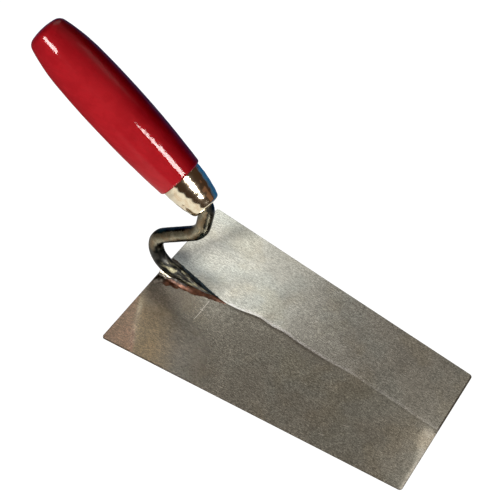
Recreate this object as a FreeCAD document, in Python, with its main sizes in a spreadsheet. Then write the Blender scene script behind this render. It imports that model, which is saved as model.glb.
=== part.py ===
import FreeCAD, Part
import os
import Sketcher
from FreeCAD import Placement, Rotation, Vector

# Brick trowel: a flat steel blade, a forged neck welded on at the heel, a brass ferrule and a
# turned wooden handle.
#
# Frame: origin at the middle of the blade's sole, +X towards the toe, +Y across, +Z up.
# Distances along the blade in the sheet are counted from the heel edge. The handle, the ferrule
# and the tang are made standing on +Z from the middle of the ferrule's nose, then leaned back.

DIMENSIONS = {
    # Blade
    "blade_length": 200,
    "heel_width": 130,
    "toe_width": 97,
    "blade_edge": 1.05,
    "blade_corner": 2,
    "sole_spare": 1,
    "blank_thickness": 6,
    # The ridge along the blade's top, hand ground: place, sideways offset and height
    "ridge_heel_at": 0, "ridge_heel_aside": 0, "ridge_heel_height": 2.4,
    "ridge_foot_at": 45, "ridge_foot_aside": 1, "ridge_foot_height": 2.9,
    "ridge_bend_at": 75, "ridge_bend_aside": 3.9, "ridge_bend_height": 2.8,
    "ridge_middle_at": 140, "ridge_middle_aside": 2.6, "ridge_middle_height": 2.2,
    "ridge_toe_at": 200, "ridge_toe_aside": 0.3, "ridge_toe_height": 1.3,
    # Neck: a round bar whose centre line has these corners, each rounded by a bend
    "bar_radius": 4.75,
    "foot_at": 10,
    "foot_height": 6.7,
    "heel_bend_at": -34,
    "heel_bend_radius": 16,
    "neck_bend_at": 24,
    "neck_bend_height": 56.1,
    "neck_bend_radius": 18,
    "nose_bend_before": 1,
    "nose_bend_radius": 8,
    # Rib: the foot drawn out to a point along the blade
    "rib_end_at": 32,
    "rib_end_radius": 0.8,
    "rib_seat": 2,
    # Tang: square, tapering, inside the handle
    "tang_from": 6,
    "tang_length": 84,
    "tang_side": 6.6,
    "tang_taper": 1.2,
    # Welds: a wedge on each side of the foot, and a bead under the bar at the heel
    "weld_base": 1,
    "weld_split": 0.35,
    "weld_heel_at": 2.5, "weld_heel_reach": 11.3, "weld_heel_height": 6.4, "weld_heel_edge": 2.4,
    "weld_middle_at": 25, "weld_middle_reach": 7.6, "weld_middle_height": 4, "weld_middle_edge": 2.7,
    "weld_tip_at": 44, "weld_tip_reach": 1.4, "weld_tip_height": 3.3, "weld_tip_edge": 3.1,
    "bead_at": 2.6,
    "bead_height": 2.6,
    "bead_radius": 2.4,
    "bead_length": 15,
    # Ferrule
    "nose_at": 24.9,
    "nose_height": 80.8,
    "handle_lean": 30,
    "ferrule_length": 22.4,
    "ferrule_nose_radius": 9.2,
    "ferrule_mouth_radius": 13.1,
    "ferrule_swell": 71,
    "ferrule_round": 2.2,
    "ferrule_wall": 0.9,
    # Handle
    "shoulder_radius": 14.6,
    "shoulder_round": 1.6,
    "belly_at": 80,
    "belly_radius": 17.25,
    "taper_at": 107.5,
    "taper_radius": 16.6,
    "taper_swell": 121.5,
    "butt_at": 135.7,
    "butt_radius": 11.9,
    "butt_round": 5.6,
    "handle_end": 137.65,
}
RIDGE = ("heel", "foot", "bend", "middle", "toe")
WELD_SECTIONS = ("heel", "middle", "tip")


def make_sheet(doc):
    """Put the driving dimensions in a spreadsheet, each with its name as alias."""
    sheet = doc.addObject("Spreadsheet::Sheet", "Dims")
    for row, (name, value) in enumerate(DIMENSIONS.items(), start=1):
        sheet.set(f"A{row}", name)
        sheet.set(f"B{row}", str(value))
        sheet.setAlias(f"B{row}", name)
    doc.recompute()


def dim(name):
    return f"Dims.{name}"


def from_heel(distance):
    """X of a place given by its distance from the heel edge."""
    return f"{distance} - {dim('blade_length')} / 2"


def swell(height, bulge):
    """Radius of an arc that rises by bulge over height and ends parallel to height."""
    return f"(({height}) ^ 2 + ({bulge}) ^ 2) / (2 * ({bulge}))"


# Sketching

def add_sketch(body, name, role, offset=None):
    """Sketch on one of the body's own origin planes, moved along its normal by offset."""
    sketch = body.newObject("Sketcher::SketchObject", name)
    plane = next(part for part in body.Origin.OriginFeatures if part.Role == role)
    sketch.AttachmentSupport = [(plane, "")]
    sketch.MapMode = "FlatFace"
    if offset:
        sketch.setExpression("AttachmentOffset.Base.z", offset)
    return sketch


def bind(sketch, kind, *where, to):
    """Add a constraint whose value is the expression to."""
    index = sketch.addConstraint(Sketcher.Constraint(kind, *where, value_of(sketch, to)))
    sketch.setExpression(f"Constraints[{index}]", to)


def value_of(sketch, expression):
    return float(sketch.evalExpression(expression))


def pin(sketch, edge, end, place):
    bind(sketch, "DistanceX", edge, end, to=place[0])
    bind(sketch, "DistanceY", edge, end, to=place[1])


def arc_edge(start, end, radius):
    """Arc from start to end, turning left."""
    chord = end - start
    half = chord.Length / 2
    left = Vector(-chord.y, chord.x, 0).normalize()
    middle = (start + end) / 2 - left * (radius - (radius ** 2 - half ** 2) ** 0.5)
    return Part.Arc(start, middle, end)


def outline(sketch, corners):
    """Closed outline, counterclockwise through corners.

    A corner is (across, up), and (across, up, radius) where an arc of that radius leads on to the
    next corner. All are expressions.
    """
    places = [Vector(value_of(sketch, corner[0]), value_of(sketch, corner[1]), 0) for corner in corners]
    count = len(corners)
    for index, corner in enumerate(corners):
        start, end = places[index], places[(index + 1) % count]
        if len(corner) == 3:
            sketch.addGeometry(arc_edge(start, end, value_of(sketch, corner[2])))
        else:
            sketch.addGeometry(Part.LineSegment(start, end))
    for index in range(count):
        sketch.addConstraint(Sketcher.Constraint("Coincident", index, 2, (index + 1) % count, 1))
    for index, corner in enumerate(corners):
        pin(sketch, index, 1, corner)
        if len(corner) == 3:
            bind(sketch, "Radius", index, to=corner[2])


def circle(sketch, centre_height, radius):
    """Circle centred on the sketch's vertical axis."""
    middle = Vector(0, value_of(sketch, centre_height), 0)
    edge = sketch.addGeometry(Part.Circle(middle, Vector(0, 0, 1), value_of(sketch, radius)))
    sketch.addConstraint(Sketcher.Constraint("PointOnObject", edge, 3, -2))
    bind(sketch, "DistanceY", edge, 3, to=centre_height)
    bind(sketch, "Radius", edge, to=radius)


def square(sketch, side):
    half = f"{side} / 2"
    outline(sketch, [(f"-{half}", f"-{half}"), (half, f"-{half}"), (half, half), (f"-{half}", half)])


# Solids

def add_body(doc, label):
    body = doc.addObject("PartDesign::Body", label)
    body.Label = label
    return body


def lean_back(body):
    """Lean a body that stands on +Z back along the handle's axis, with its foot at the nose."""
    body.Placement = Placement(Vector(0, 0, 0), Rotation(Vector(0, 1, 0), -1))
    body.setExpression("Placement.Base.x", from_heel(dim("nose_at")))
    body.setExpression("Placement.Base.z", dim("nose_height"))
    body.setExpression("Placement.Rotation.Angle", f"{dim('handle_lean')} - 90")


def loft(body, name, sections, ruled=True):
    feature = body.newObject("PartDesign::AdditiveLoft", name)
    feature.Profile = sections[0]
    feature.Sections = sections[1:]
    feature.Ruled = ruled
    return feature


def turned(body, name, sketch):
    """Revolve a sketch in the XZ plane about its vertical axis."""
    feature = body.newObject("PartDesign::Revolution", name)
    feature.Profile = sketch
    feature.ReferenceAxis = (sketch, ["V_Axis"])
    feature.Angle = 360
    return feature


def rounded(body, name, feature, radius, picks):
    """Fillet the feature's edges that picks chooses."""
    body.Document.recompute()
    names = [f"Edge{number}" for number, edge in enumerate(feature.Shape.Edges, start=1) if picks(edge)]
    fillet = body.newObject("PartDesign::Fillet", name)
    fillet.Base = (feature, names)
    fillet.setExpression("Radius", radius)
    return fillet


def is_ring(edge, radius, height):
    """True for a circle about +Z of this radius at this height."""
    if edge.Degenerated or not isinstance(edge.Curve, Part.Circle):
        return False
    level = edge.BoundBox.ZMin
    return abs(edge.Curve.Radius - radius) < 0.01 and abs(level - height) < 0.01


def less(doc, label, base, *tools):
    """Base with the tools cut away, one Part::Cut for each."""
    for number, tool in enumerate(tools, start=1):
        cut = doc.addObject("Part::Cut", f"{label}_less_{number}")
        cut.Base = base
        cut.Tool = tool
        cut.Refine = True
        base = cut
    base.Label = label
    return base


# Sub-parts

def width_at(distance):
    """Width of the blade at a distance from the heel edge."""
    heel, toe = dim("heel_width"), dim("toe_width")
    return f"({heel} + ({toe} - {heel}) * {distance} / {dim('blade_length')})"


def make_plate(doc):
    """Thin edges, and a ridge that wanders along the top; it reaches below the sole."""
    body = add_body(doc, "blade_plate")
    sections = []
    for name in RIDGE:
        at = dim(f"ridge_{name}_at")
        half = f"{width_at(at)} / 2"
        section = add_sketch(body, f"blade_at_{name}", "YZ_Plane", from_heel(at))
        outline(section, [
            (f"-{half}", f"-{dim('sole_spare')}"),
            (half, f"-{dim('sole_spare')}"),
            (half, dim("blade_edge")),
            (dim(f"ridge_{name}_aside"), dim(f"ridge_{name}_height")),
            (f"-{half}", dim("blade_edge")),
        ])
        sections.append(section)
    loft(body, "ground_plate", sections)
    return body


def make_blank(doc):
    """The blade's plan, a trapezoid with rounded corners, thicker than the plate."""
    body = add_body(doc, "blade_blank")
    plan = add_sketch(body, "blade_plan", "XY_Plane")
    half_length = f"{dim('blade_length')} / 2"
    half_heel, half_toe = f"{dim('heel_width')} / 2", f"{dim('toe_width')} / 2"
    corners = [
        (f"-{half_length}", f"-{half_heel}"),
        (half_length, f"-{half_toe}"),
        (half_length, half_toe),
        (f"-{half_length}", half_heel),
    ]
    outline(plan, corners)
    for edge in range(len(corners)):
        arc = plan.GeometryCount
        plan.fillet(edge, 2, value_of(plan, dim("blade_corner")), True, True)
        bind(plan, "Radius", arc, to=dim("blade_corner"))
    pad = body.newObject("PartDesign::Pad", "blank")
    pad.Profile = plan
    pad.setExpression("Length", dim("blank_thickness"))
    return body


def make_blade(doc):
    """The plate, cut flat at the sole and trimmed to the blank's rounded corners."""
    blade = doc.addObject("Part::Common", "blade")
    blade.Base = make_plate(doc)
    blade.Tool = make_blank(doc)
    blade.Label = "blade"
    return blade


def make_bar(doc):
    """The round bar's path, and the foot drawn out into the rib."""
    body = add_body(doc, "neck_bar")
    path = add_sketch(body, "neck_path", "XZ_Plane")
    nose_x, nose_z = from_heel(dim("nose_at")), dim("nose_height")
    along_x, along_z = f"cos({dim('handle_lean')} * 1deg)", f"sin({dim('handle_lean')} * 1deg)"
    corners = [
        (from_heel(dim("foot_at")), dim("foot_height")),
        (from_heel(dim("heel_bend_at")), dim("foot_height")),
        (from_heel(dim("neck_bend_at")), dim("neck_bend_height")),
        (f"{nose_x} + {dim('nose_bend_before')} * {along_x}",
         f"{nose_z} - {dim('nose_bend_before')} * {along_z}"),
        (f"{nose_x} - {dim('tang_from')} * {along_x}",
         f"{nose_z} + {dim('tang_from')} * {along_z}"),
    ]
    places = [Vector(value_of(path, corner[0]), value_of(path, corner[1]), 0) for corner in corners]
    runs = list(zip(places, places[1:]))
    for start, end in runs:
        path.addGeometry(Part.LineSegment(start, end))
    pin(path, 0, 1, corners[0])
    for run, corner in enumerate(corners[1:]):
        pin(path, run, 2, corner)
        if run + 1 < len(runs):
            path.addConstraint(Sketcher.Constraint("Coincident", run, 2, run + 1, 1))
    for run, bend in enumerate(("heel_bend_radius", "neck_bend_radius", "nose_bend_radius")):
        radius = dim(bend)
        arc = path.GeometryCount
        path.fillet(run, 2, value_of(path, radius), True, True)
        bind(path, "Radius", arc, to=radius)
    doc.recompute()

    section = add_sketch(body, "bar_section", "YZ_Plane", from_heel(dim("foot_at")))
    circle(section, dim("foot_height"), dim("bar_radius"))
    bar = body.newObject("PartDesign::AdditivePipe", "bar")
    bar.Profile = section
    bar.Spine = (path, [f"Edge{number + 1}" for number in range(len(path.Shape.Edges))])

    root = add_sketch(body, "rib_root", "YZ_Plane", from_heel(dim("foot_at")))
    circle(root, dim("foot_height"), dim("bar_radius"))
    tip = add_sketch(body, "rib_tip", "YZ_Plane", from_heel(dim("rib_end_at")))
    circle(tip, f"{dim('rib_seat')} + {dim('rib_end_radius')}", dim("rib_end_radius"))
    loft(body, "rib", [root, tip])
    return body


def make_tang(doc):
    """Square taper along the handle's axis."""
    body = add_body(doc, "neck_tang")
    section = add_sketch(body, "tang_section", "XY_Plane", dim("tang_from"))
    square(section, dim("tang_side"))
    pad = body.newObject("PartDesign::Pad", "tang")
    pad.Profile = section
    pad.setExpression("Length", dim("tang_length"))
    pad.setExpression("TaperAngle", f"-{dim('tang_taper')}")
    lean_back(body)
    return body


def make_forging(doc):
    """Bar, rib and tang in one, before it is seated on the blade."""
    forging = doc.addObject("Part::Fuse", "neck_forging")
    forging.Base = make_bar(doc)
    forging.Tool = make_tang(doc)
    forging.Refine = True
    return forging


def make_weld(doc, label, side, *neighbours):
    """Wedge that runs from the foot down to the blade; side is 1 on +Y and -1 on -Y."""
    body = add_body(doc, f"{label}_metal")
    sections = []
    for name in WELD_SECTIONS:
        reach = f"{side} * {dim(f'weld_{name}_reach')}"
        edge, height = dim(f"weld_{name}_edge"), dim(f"weld_{name}_height")
        split, base = dim("weld_split"), dim("weld_base")
        corners = [(split, base), (reach, base), (reach, edge), (split, height)]
        section = add_sketch(body, f"{label}_{name}", "YZ_Plane", from_heel(dim(f"weld_{name}_at")))
        outline(section, corners)
        sections.append(section)
    loft(body, f"{label}_wedge", sections)
    return less(doc, label, body, *neighbours)


def make_heel_bead(doc, *neighbours):
    """Round bead across the heel, under the bar."""
    bead = doc.addObject("Part::Cylinder", "weld_heel_metal")
    bead.setExpression("Radius", dim("bead_radius"))
    bead.setExpression("Height", dim("bead_length"))
    bead.Placement = Placement(Vector(0, 0, 0), Rotation(Vector(1, 0, 0), 90))
    bead.setExpression("Placement.Base.x", from_heel(dim("bead_at")))
    bead.setExpression("Placement.Base.y", f"{dim('bead_length')} / 2")
    bead.setExpression("Placement.Base.z", dim("bead_height"))
    return less(doc, "weld_heel", bead, *neighbours)


def make_turned_handle(doc):
    """Grip with a rounded shoulder, a full belly, a tapered butt and a spigot for the ferrule."""
    body = add_body(doc, "handle_turned")
    profile = add_sketch(body, "handle_profile", "XZ_Plane")
    wall, length = dim("ferrule_wall"), dim("ferrule_length")
    spigot_nose = f"{dim('ferrule_nose_radius')} - {wall}"
    spigot_mouth = f"{dim('ferrule_mouth_radius')} - {wall}"
    shoulder, belly = dim("shoulder_radius"), dim("belly_radius")
    belly_at, taper_at = dim("belly_at"), dim("taper_at")
    taper, butt = dim("taper_radius"), dim("butt_radius")
    outline(profile, [
        ("0", wall),
        (spigot_nose, wall, f"{dim('ferrule_swell')} - {wall}"),
        (spigot_mouth, length),
        (shoulder, length, swell(f"{belly_at} - {length}", f"{belly} - {shoulder}")),
        (belly, belly_at, swell(f"{taper_at} - {belly_at}", f"{belly} - {taper}")),
        (taper, taper_at, dim("taper_swell")),
        (butt, dim("butt_at"), swell(butt, f"{dim('handle_end')} - {dim('butt_at')}")),
        ("0", dim("handle_end")),
    ])
    grip = turned(body, "grip", profile)
    size = DIMENSIONS
    nose = size["ferrule_nose_radius"] - size["ferrule_wall"]
    grip = rounded(body, "spigot_round", grip, f"{dim('ferrule_round')} - {wall}",
                   lambda edge: is_ring(edge, nose, size["ferrule_wall"]))
    grip = rounded(body, "shoulder_rounding", grip, dim("shoulder_round"),
                   lambda edge: is_ring(edge, size["shoulder_radius"], size["ferrule_length"]))
    rounded(body, "butt_rounding", grip, dim("butt_round"),
            lambda edge: is_ring(edge, size["butt_radius"], size["butt_at"]))
    lean_back(body)
    return body


def make_turned_ferrule(doc):
    """Drawn cup before its inside is opened: a swelling side and a rounded nose."""
    body = add_body(doc, "ferrule_turned")
    profile = add_sketch(body, "ferrule_profile", "XZ_Plane")
    outline(profile, [
        ("0", "0"),
        (dim("ferrule_nose_radius"), "0", dim("ferrule_swell")),
        (dim("ferrule_mouth_radius"), dim("ferrule_length")),
        ("0", dim("ferrule_length")),
    ])
    cup = turned(body, "cup", profile)
    rounded(body, "nose_rounding", cup, dim("ferrule_round"),
            lambda edge: is_ring(edge, DIMENSIONS["ferrule_nose_radius"], 0))
    lean_back(body)
    return body


def check(doc, parts):
    """Stop at the first object that failed and the first part that isn't a valid solid."""
    for item in doc.Objects:
        if {"Invalid", "Error"} & set(item.State):
            raise RuntimeError(f"{item.Label} failed: {item.State}")
    for part in parts:
        shape = part.Shape
        if shape.isNull() or not shape.isValid() or not shape.Solids:
            raise RuntimeError(f"{part.Label} isn't a valid solid")
        print(f"{part.Label}: {len(shape.Solids)} solid, {shape.Volume:.0f} cubic mm")


def main():
    doc = FreeCAD.newDocument("brick_trowel")
    make_sheet(doc)
    blade = make_blade(doc)
    forging = make_forging(doc)
    neck = less(doc, "neck", forging, blade)
    weld_left = make_weld(doc, "weld_left", -1, forging, blade)
    weld_right = make_weld(doc, "weld_right", 1, forging, blade)
    weld_heel = make_heel_bead(doc, forging, blade, weld_left, weld_right)
    turned_handle = make_turned_handle(doc)
    ferrule = less(doc, "ferrule", make_turned_ferrule(doc), turned_handle, forging)
    handle = less(doc, "handle", turned_handle, forging)
    doc.recompute()
    parts = [blade, neck, weld_left, weld_right, weld_heel, ferrule, handle]
    check(doc, parts)
    os.makedirs("parts", exist_ok=True)
    for part in parts:
        part.Shape.exportStep(f"parts/{part.Label}.step")


main()
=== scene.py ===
import math

import bmesh
import bpy
from mathutils import Matrix, Vector, noise


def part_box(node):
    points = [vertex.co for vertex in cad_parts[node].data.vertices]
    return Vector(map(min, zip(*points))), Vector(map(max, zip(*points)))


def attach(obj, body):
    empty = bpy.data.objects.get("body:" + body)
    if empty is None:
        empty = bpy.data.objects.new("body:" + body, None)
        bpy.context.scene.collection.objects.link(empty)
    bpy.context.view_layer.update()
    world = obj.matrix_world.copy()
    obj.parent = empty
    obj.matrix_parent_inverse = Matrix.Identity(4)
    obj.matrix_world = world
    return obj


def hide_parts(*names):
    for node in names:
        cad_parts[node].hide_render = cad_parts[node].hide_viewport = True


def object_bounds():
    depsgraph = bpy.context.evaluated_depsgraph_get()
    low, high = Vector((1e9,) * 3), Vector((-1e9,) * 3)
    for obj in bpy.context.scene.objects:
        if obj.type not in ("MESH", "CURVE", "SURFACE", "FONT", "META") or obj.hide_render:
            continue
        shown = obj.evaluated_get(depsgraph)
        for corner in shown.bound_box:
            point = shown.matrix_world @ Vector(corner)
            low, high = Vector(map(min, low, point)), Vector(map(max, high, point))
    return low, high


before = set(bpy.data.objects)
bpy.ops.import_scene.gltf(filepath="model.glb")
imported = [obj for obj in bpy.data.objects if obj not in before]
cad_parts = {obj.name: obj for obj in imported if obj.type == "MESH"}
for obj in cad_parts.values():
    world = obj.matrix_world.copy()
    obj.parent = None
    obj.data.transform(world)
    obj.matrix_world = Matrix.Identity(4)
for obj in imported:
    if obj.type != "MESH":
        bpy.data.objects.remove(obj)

cad_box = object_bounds()

# Brick trowel. Lengths below are in millimetres and become metres when a mesh is made.
# The blade's own sizes come from the frame. Distances "along" are counted from the heel edge.

MM = 0.001
BLADE_LOW, BLADE_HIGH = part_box("blade")
BLADE_LENGTH = (BLADE_HIGH.x - BLADE_LOW.x) / MM
HEEL_X = BLADE_LOW.x / MM
TOE_HALF_WIDTH = 48.5
HEEL_HALF_WIDTH = 65.0
CORNER_RADIUS = 2.0
EDGE_THICKNESS = 1.05
EDGE_ROUNDING = 0.18

BAR_RADIUS = 4.75
NOSE_ALONG = 24.9
NOSE_HEIGHT = 80.8
HANDLE_LEAN = math.radians(30)
FERRULE_LENGTH = 22.4

AXIS = Vector((-math.cos(HANDLE_LEAN), 0, math.sin(HANDLE_LEAN)))
AXIS_UP = Vector((math.sin(HANDLE_LEAN), 0, math.cos(HANDLE_LEAN)))
ACROSS = Vector((0, 1, 0))
NOSE = Vector((HEEL_X + NOSE_ALONG, 0, NOSE_HEIGHT))


# Numbers

def clamp(value, low=0.0, high=1.0):
    return max(low, min(high, value))


def smooth(value, start, end):
    """0 before start, 1 after end, eased between."""
    share = clamp((value - start) / (end - start))
    return share * share * (3 - 2 * share)


def bump(value, centre, width):
    return math.exp(-((value - centre) / width) ** 2)


def along_table(table, at):
    """Straight-line reading of a table of (place, value)."""
    if at <= table[0][0]:
        return table[0][1]
    for (start, low), (end, high) in zip(table, table[1:]):
        if at <= end:
            return low + (high - low) * (at - start) / (end - start)
    return table[-1][1]


def rough(x, y, z, size):
    """Smooth noise between about -1 and 1, with lumps of this size."""
    return noise.noise(Vector((x, y, z)) / size)


def around(lumps, angle, travelled):
    """Smooth noise that closes around a turned piece; more lumps make a finer pattern."""
    return rough(lumps * math.cos(angle), lumps * math.sin(angle), travelled, 1.0)


# Meshes

def make_object(name, points, faces, body="root"):
    """Mesh object from points in millimetres, smooth shaded, riding on a body."""
    mesh = bpy.data.meshes.new(name)
    mesh.from_pydata([Vector(point) * MM for point in points], [], faces)
    mesh.validate()
    made = bmesh.new()
    made.from_mesh(mesh)
    bmesh.ops.remove_doubles(made, verts=made.verts, dist=1e-7)
    bmesh.ops.recalc_face_normals(made, faces=made.faces)
    made.to_mesh(mesh)
    made.free()
    for face in mesh.polygons:
        face.use_smooth = True
    piece = bpy.data.objects.new(name, mesh)
    bpy.context.scene.collection.objects.link(piece)
    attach(piece, body)
    return piece


def grid_faces(rows, columns, close_rows=False, close_columns=False, start=0):
    """Quads of a grid of points stored row by row."""
    faces = []
    for row in range(rows if close_rows else rows - 1):
        for column in range(columns if close_columns else columns - 1):
            next_row = (row + 1) % rows
            next_column = (column + 1) % columns
            faces.append((
                start + row * columns + column,
                start + row * columns + next_column,
                start + next_row * columns + next_column,
                start + next_row * columns + column,
            ))
    return faces


def paint(piece, name, value_at):
    """Store a number at every vertex, worked out from its place in millimetres."""
    attribute = piece.data.attributes.new(name, "FLOAT", "POINT")
    for vertex, item in zip(piece.data.vertices, attribute.data):
        item.value = value_at(vertex.co / MM)


def swept(centre, arm, turn, steps):
    """Points of the arc that the end of an arm draws as it turns about a centre."""
    return [centre + Matrix.Rotation(-turn * step / steps, 2) @ arm for step in range(steps + 1)]


def arc_points(start, end, radius, steps):
    """Points of an arc in a profile, start and end as (radius, height), swelling outwards."""
    start, end = Vector(start), Vector(end)
    chord = end - start
    half = chord.length / 2
    outward = Vector((chord.y, -chord.x)).normalized()
    centre = (start + end) / 2 - outward * math.sqrt(radius ** 2 - half ** 2)
    arm = start - centre
    return swept(centre, arm, arm.angle_signed(end - centre), steps)


def fillet(before, corner, after, radius):
    """Centre of a corner's rounding, the arm to its first point, and the angle it turns by."""
    back, ahead = (before - corner).normalized(), (after - corner).normalized()
    half = back.angle(ahead) / 2
    reach = radius / math.tan(half)
    centre = corner + (back + ahead).normalized() * radius / math.sin(half)
    arm, last = corner + back * reach - centre, corner + ahead * reach - centre
    return centre, arm, arm.angle_signed(last)


def round_corner(before, corner, after, radius, steps):
    """Points of a fillet at a profile's corner, its neighbours taken as straight."""
    return swept(*fillet(Vector(before), Vector(corner), Vector(after), radius), steps)


def vectors(*places):
    return [Vector(place) for place in places]


def lathe(profile, segments, shape_at, nudge=None):
    """Turn a profile of (radius, height) about the handle's axis.

    shape_at(angle, height, radius) gives the radius of a point; nudge(height, radius) moves a ring
    sideways along AXIS_UP.
    """
    points = []
    for radius, height in profile:
        offset = nudge(height, radius) if nudge else 0.0
        for segment in range(segments):
            angle = 2 * math.pi * segment / segments
            reach = shape_at(angle, height, radius)
            spoke = AXIS_UP * math.cos(angle) + ACROSS * math.sin(angle)
            points.append(NOSE + AXIS * height + spoke * reach + AXIS_UP * offset)
    return points


# Materials

class Paint:
    """One node material with a Principled shader, and short calls for the nodes it needs."""

    def __init__(self, name, **settings):
        self.material = bpy.data.materials.new(name)
        self.material.use_nodes = True
        self.tree = self.material.node_tree
        self.shader = self.tree.nodes["Principled BSDF"]
        for socket, value in settings.items():
            self.shader.inputs[socket.replace("_", " ")].default_value = value
        self.place = self.node("ShaderNodeTexCoord").outputs["Object"]

    def node(self, kind, **settings):
        made = self.tree.nodes.new(kind)
        for key, value in settings.items():
            setattr(made, key, value)
        return made

    def put(self, socket, value):
        """Connect value, or set it if it is a plain number or colour."""
        if isinstance(value, bpy.types.NodeSocket):
            self.tree.links.new(value, socket)
        else:
            socket.default_value = value

    def stretch(self, scale, turn=(0, 0, 0)):
        """Places scaled by a factor for each axis, so that noise read there is drawn out."""
        node = self.node("ShaderNodeMapping")
        self.put(node.inputs["Vector"], self.place)
        node.inputs["Scale"].default_value = scale
        node.inputs["Rotation"].default_value = turn
        return node.outputs["Vector"]

    def noise(self, scale, detail=3.0, roughness=0.55, vector=None, distortion=0.0):
        node = self.node("ShaderNodeTexNoise")
        self.put(node.inputs["Vector"], vector or self.place)
        node.inputs["Scale"].default_value = scale
        node.inputs["Detail"].default_value = detail
        node.inputs["Roughness"].default_value = roughness
        node.inputs["Distortion"].default_value = distortion
        return node.outputs["Fac"]

    def cells(self, scale):
        """Distance from the nearest of the points scattered at random through the piece."""
        node = self.node("ShaderNodeTexVoronoi", feature="F1")
        self.put(node.inputs["Vector"], self.place)
        node.inputs["Scale"].default_value = scale
        return node.outputs["Distance"]

    def remap(self, value, low, high, to_low=0.0, to_high=1.0):
        """Carry low to to_low and high to to_high, eased between and held outside."""
        node = self.node("ShaderNodeMapRange", interpolation_type="SMOOTHSTEP")
        self.put(node.inputs["Value"], value)
        sockets = ("From Min", "From Max", "To Min", "To Max")
        for socket, number in zip(sockets, (low, high, to_low, to_high)):
            node.inputs[socket].default_value = number
        return node.outputs["Result"]

    def maths(self, operation, first, second=0.0):
        node = self.node("ShaderNodeMath", operation=operation)
        self.put(node.inputs[0], first)
        self.put(node.inputs[1], second)
        return node.outputs[0]

    def plus(self, first, second):
        return self.maths("ADD", first, second)

    def times(self, first, second):
        return self.maths("MULTIPLY", first, second)

    def mix(self, share, first, second, blend="MIX"):
        node = self.node("ShaderNodeMix", data_type="RGBA", blend_type=blend)
        self.put(node.inputs["Factor"], share)
        for name, value in (("A", first), ("B", second)):
            socket = next(s for s in node.inputs if s.name == name and s.type == "RGBA")
            self.put(socket, (*value, 1.0) if isinstance(value, tuple) else value)
        return next(s for s in node.outputs if s.type == "RGBA")

    def shade(self, tone, value):
        """Darken or lighten a colour by a grey factor that may vary over the surface."""
        grey = self.node("ShaderNodeCombineXYZ")
        for socket in grey.inputs:
            self.put(socket, value)
        return self.mix(1.0, tone, grey.outputs[0], "MULTIPLY")

    def scratch(self, start, end, width):
        """1 on a thin straight mark on the blade; ends as (along, aside) in millimetres."""
        start = Vector((HEEL_X + start[0], start[1], 0)) * MM
        end = Vector((HEEL_X + end[0], end[1], 0)) * MM
        run = end - start
        direction = run.normalized()
        side = Vector((-direction.y, direction.x, 0))
        parts = []
        for axis in (direction, side):
            node = self.node("ShaderNodeVectorMath", operation="DOT_PRODUCT")
            self.put(node.inputs[0], self.place)
            node.inputs[1].default_value = axis
            parts.append(self.maths("SUBTRACT", node.outputs["Value"], start.dot(axis)))
        width *= MM
        on_line = self.remap(self.maths("ABSOLUTE", parts[1]), width * 0.4, width, 1.0, 0.0)
        begun = self.remap(parts[0], -width, 0.0)
        ended = self.remap(parts[0], run.length, run.length + width, 1.0, 0.0)
        return self.times(on_line, self.times(begun, ended))

    def painted(self, name):
        """The number that paint() stored under this name."""
        return self.node("ShaderNodeAttribute", attribute_name=name).outputs["Fac"]

    def axis_part(self, axis):
        node = self.node("ShaderNodeSeparateXYZ")
        self.put(node.inputs[0], self.place)
        return node.outputs[axis]

    def relief(self, height, distance, strength):
        """Normals of small bumps; distance in metres is how deep a height of 1 stands."""
        node = self.node("ShaderNodeBump")
        node.inputs["Distance"].default_value = distance
        node.inputs["Strength"].default_value = strength
        self.put(node.inputs["Height"], height)
        return node.outputs["Normal"]

    def finish(self, colour=None, roughness=None, normal=None):
        for name, value in (("Base Color", colour), ("Roughness", roughness), ("Normal", normal)):
            if value is not None:
                self.put(self.shader.inputs[name], value)
        return self.material


# Blade

# The ridge's wandering line and its height, as (along, value).
RIDGE_ASIDE = (
    (0, 0.0), (47, 1.0), (57, 1.7), (64, 3.3), (71, 4.6), (79, 3.5), (88, 4.2), (98, 3.0),
    (117, 2.2), (137, 2.9), (149, 2.3), (172, 1.3), (185, 0.2), (200, 0.0),
)
RIDGE_HEIGHT = ((0, 2.4), (45, 2.9), (75, 2.8), (140, 2.2), (200, 1.3))
LIP_HEIGHT = 0.10
WAVINESS = 0.035
UNEVENNESS = 0.012
WEAR_SLOPE = 0.045
LEAST_THICKNESS = 0.3


def half_width(along):
    """Half of the blade's width, narrowed where a corner is rounded."""
    straight = HEEL_HALF_WIDTH + (TOE_HALF_WIDTH - HEEL_HALF_WIDTH) * along / BLADE_LENGTH
    from_end = min(along, BLADE_LENGTH - along)
    if from_end < CORNER_RADIUS:
        reach = CORNER_RADIUS - from_end
        straight -= CORNER_RADIUS - math.sqrt(CORNER_RADIUS ** 2 - reach ** 2)
    return straight


def ridge_aside(along):
    return along_table(RIDGE_ASIDE, along)


def wear_begins(aside):
    """Where the worn toe starts: further back beside the ridge than near the corner."""
    return BLADE_LENGTH - 10.0 + 6.5 * smooth(-aside, 8, 30)


def blade_top(along, aside):
    """Height of the blade's ground top: two gentle slopes that meet in the ridge."""
    crest = ridge_aside(along)
    half = half_width(along)
    away = aside - crest
    share = clamp(abs(away) / (half - crest if away > 0 else half + crest))
    ridge = along_table(RIDGE_HEIGHT, along)
    height = ridge + (EDGE_THICKNESS - ridge) * share
    lip = smooth(along, 30, 60) * (1 - smooth(along, 110, 160))
    height += LIP_HEIGHT * lip * (math.exp(-abs(away) / 1.3) - 0.25 * bump(away, 0, 5))
    height += WAVINESS * rough(along, aside, 3, 26) + UNEVENNESS * rough(along, aside, 9, 8)
    begins = wear_begins(aside)
    worn = smooth(along, begins, BLADE_LENGTH) ** 2 * (1 - smooth(aside, -6, 2))
    height -= WEAR_SLOPE * (BLADE_LENGTH - begins) * worn
    return height


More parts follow.
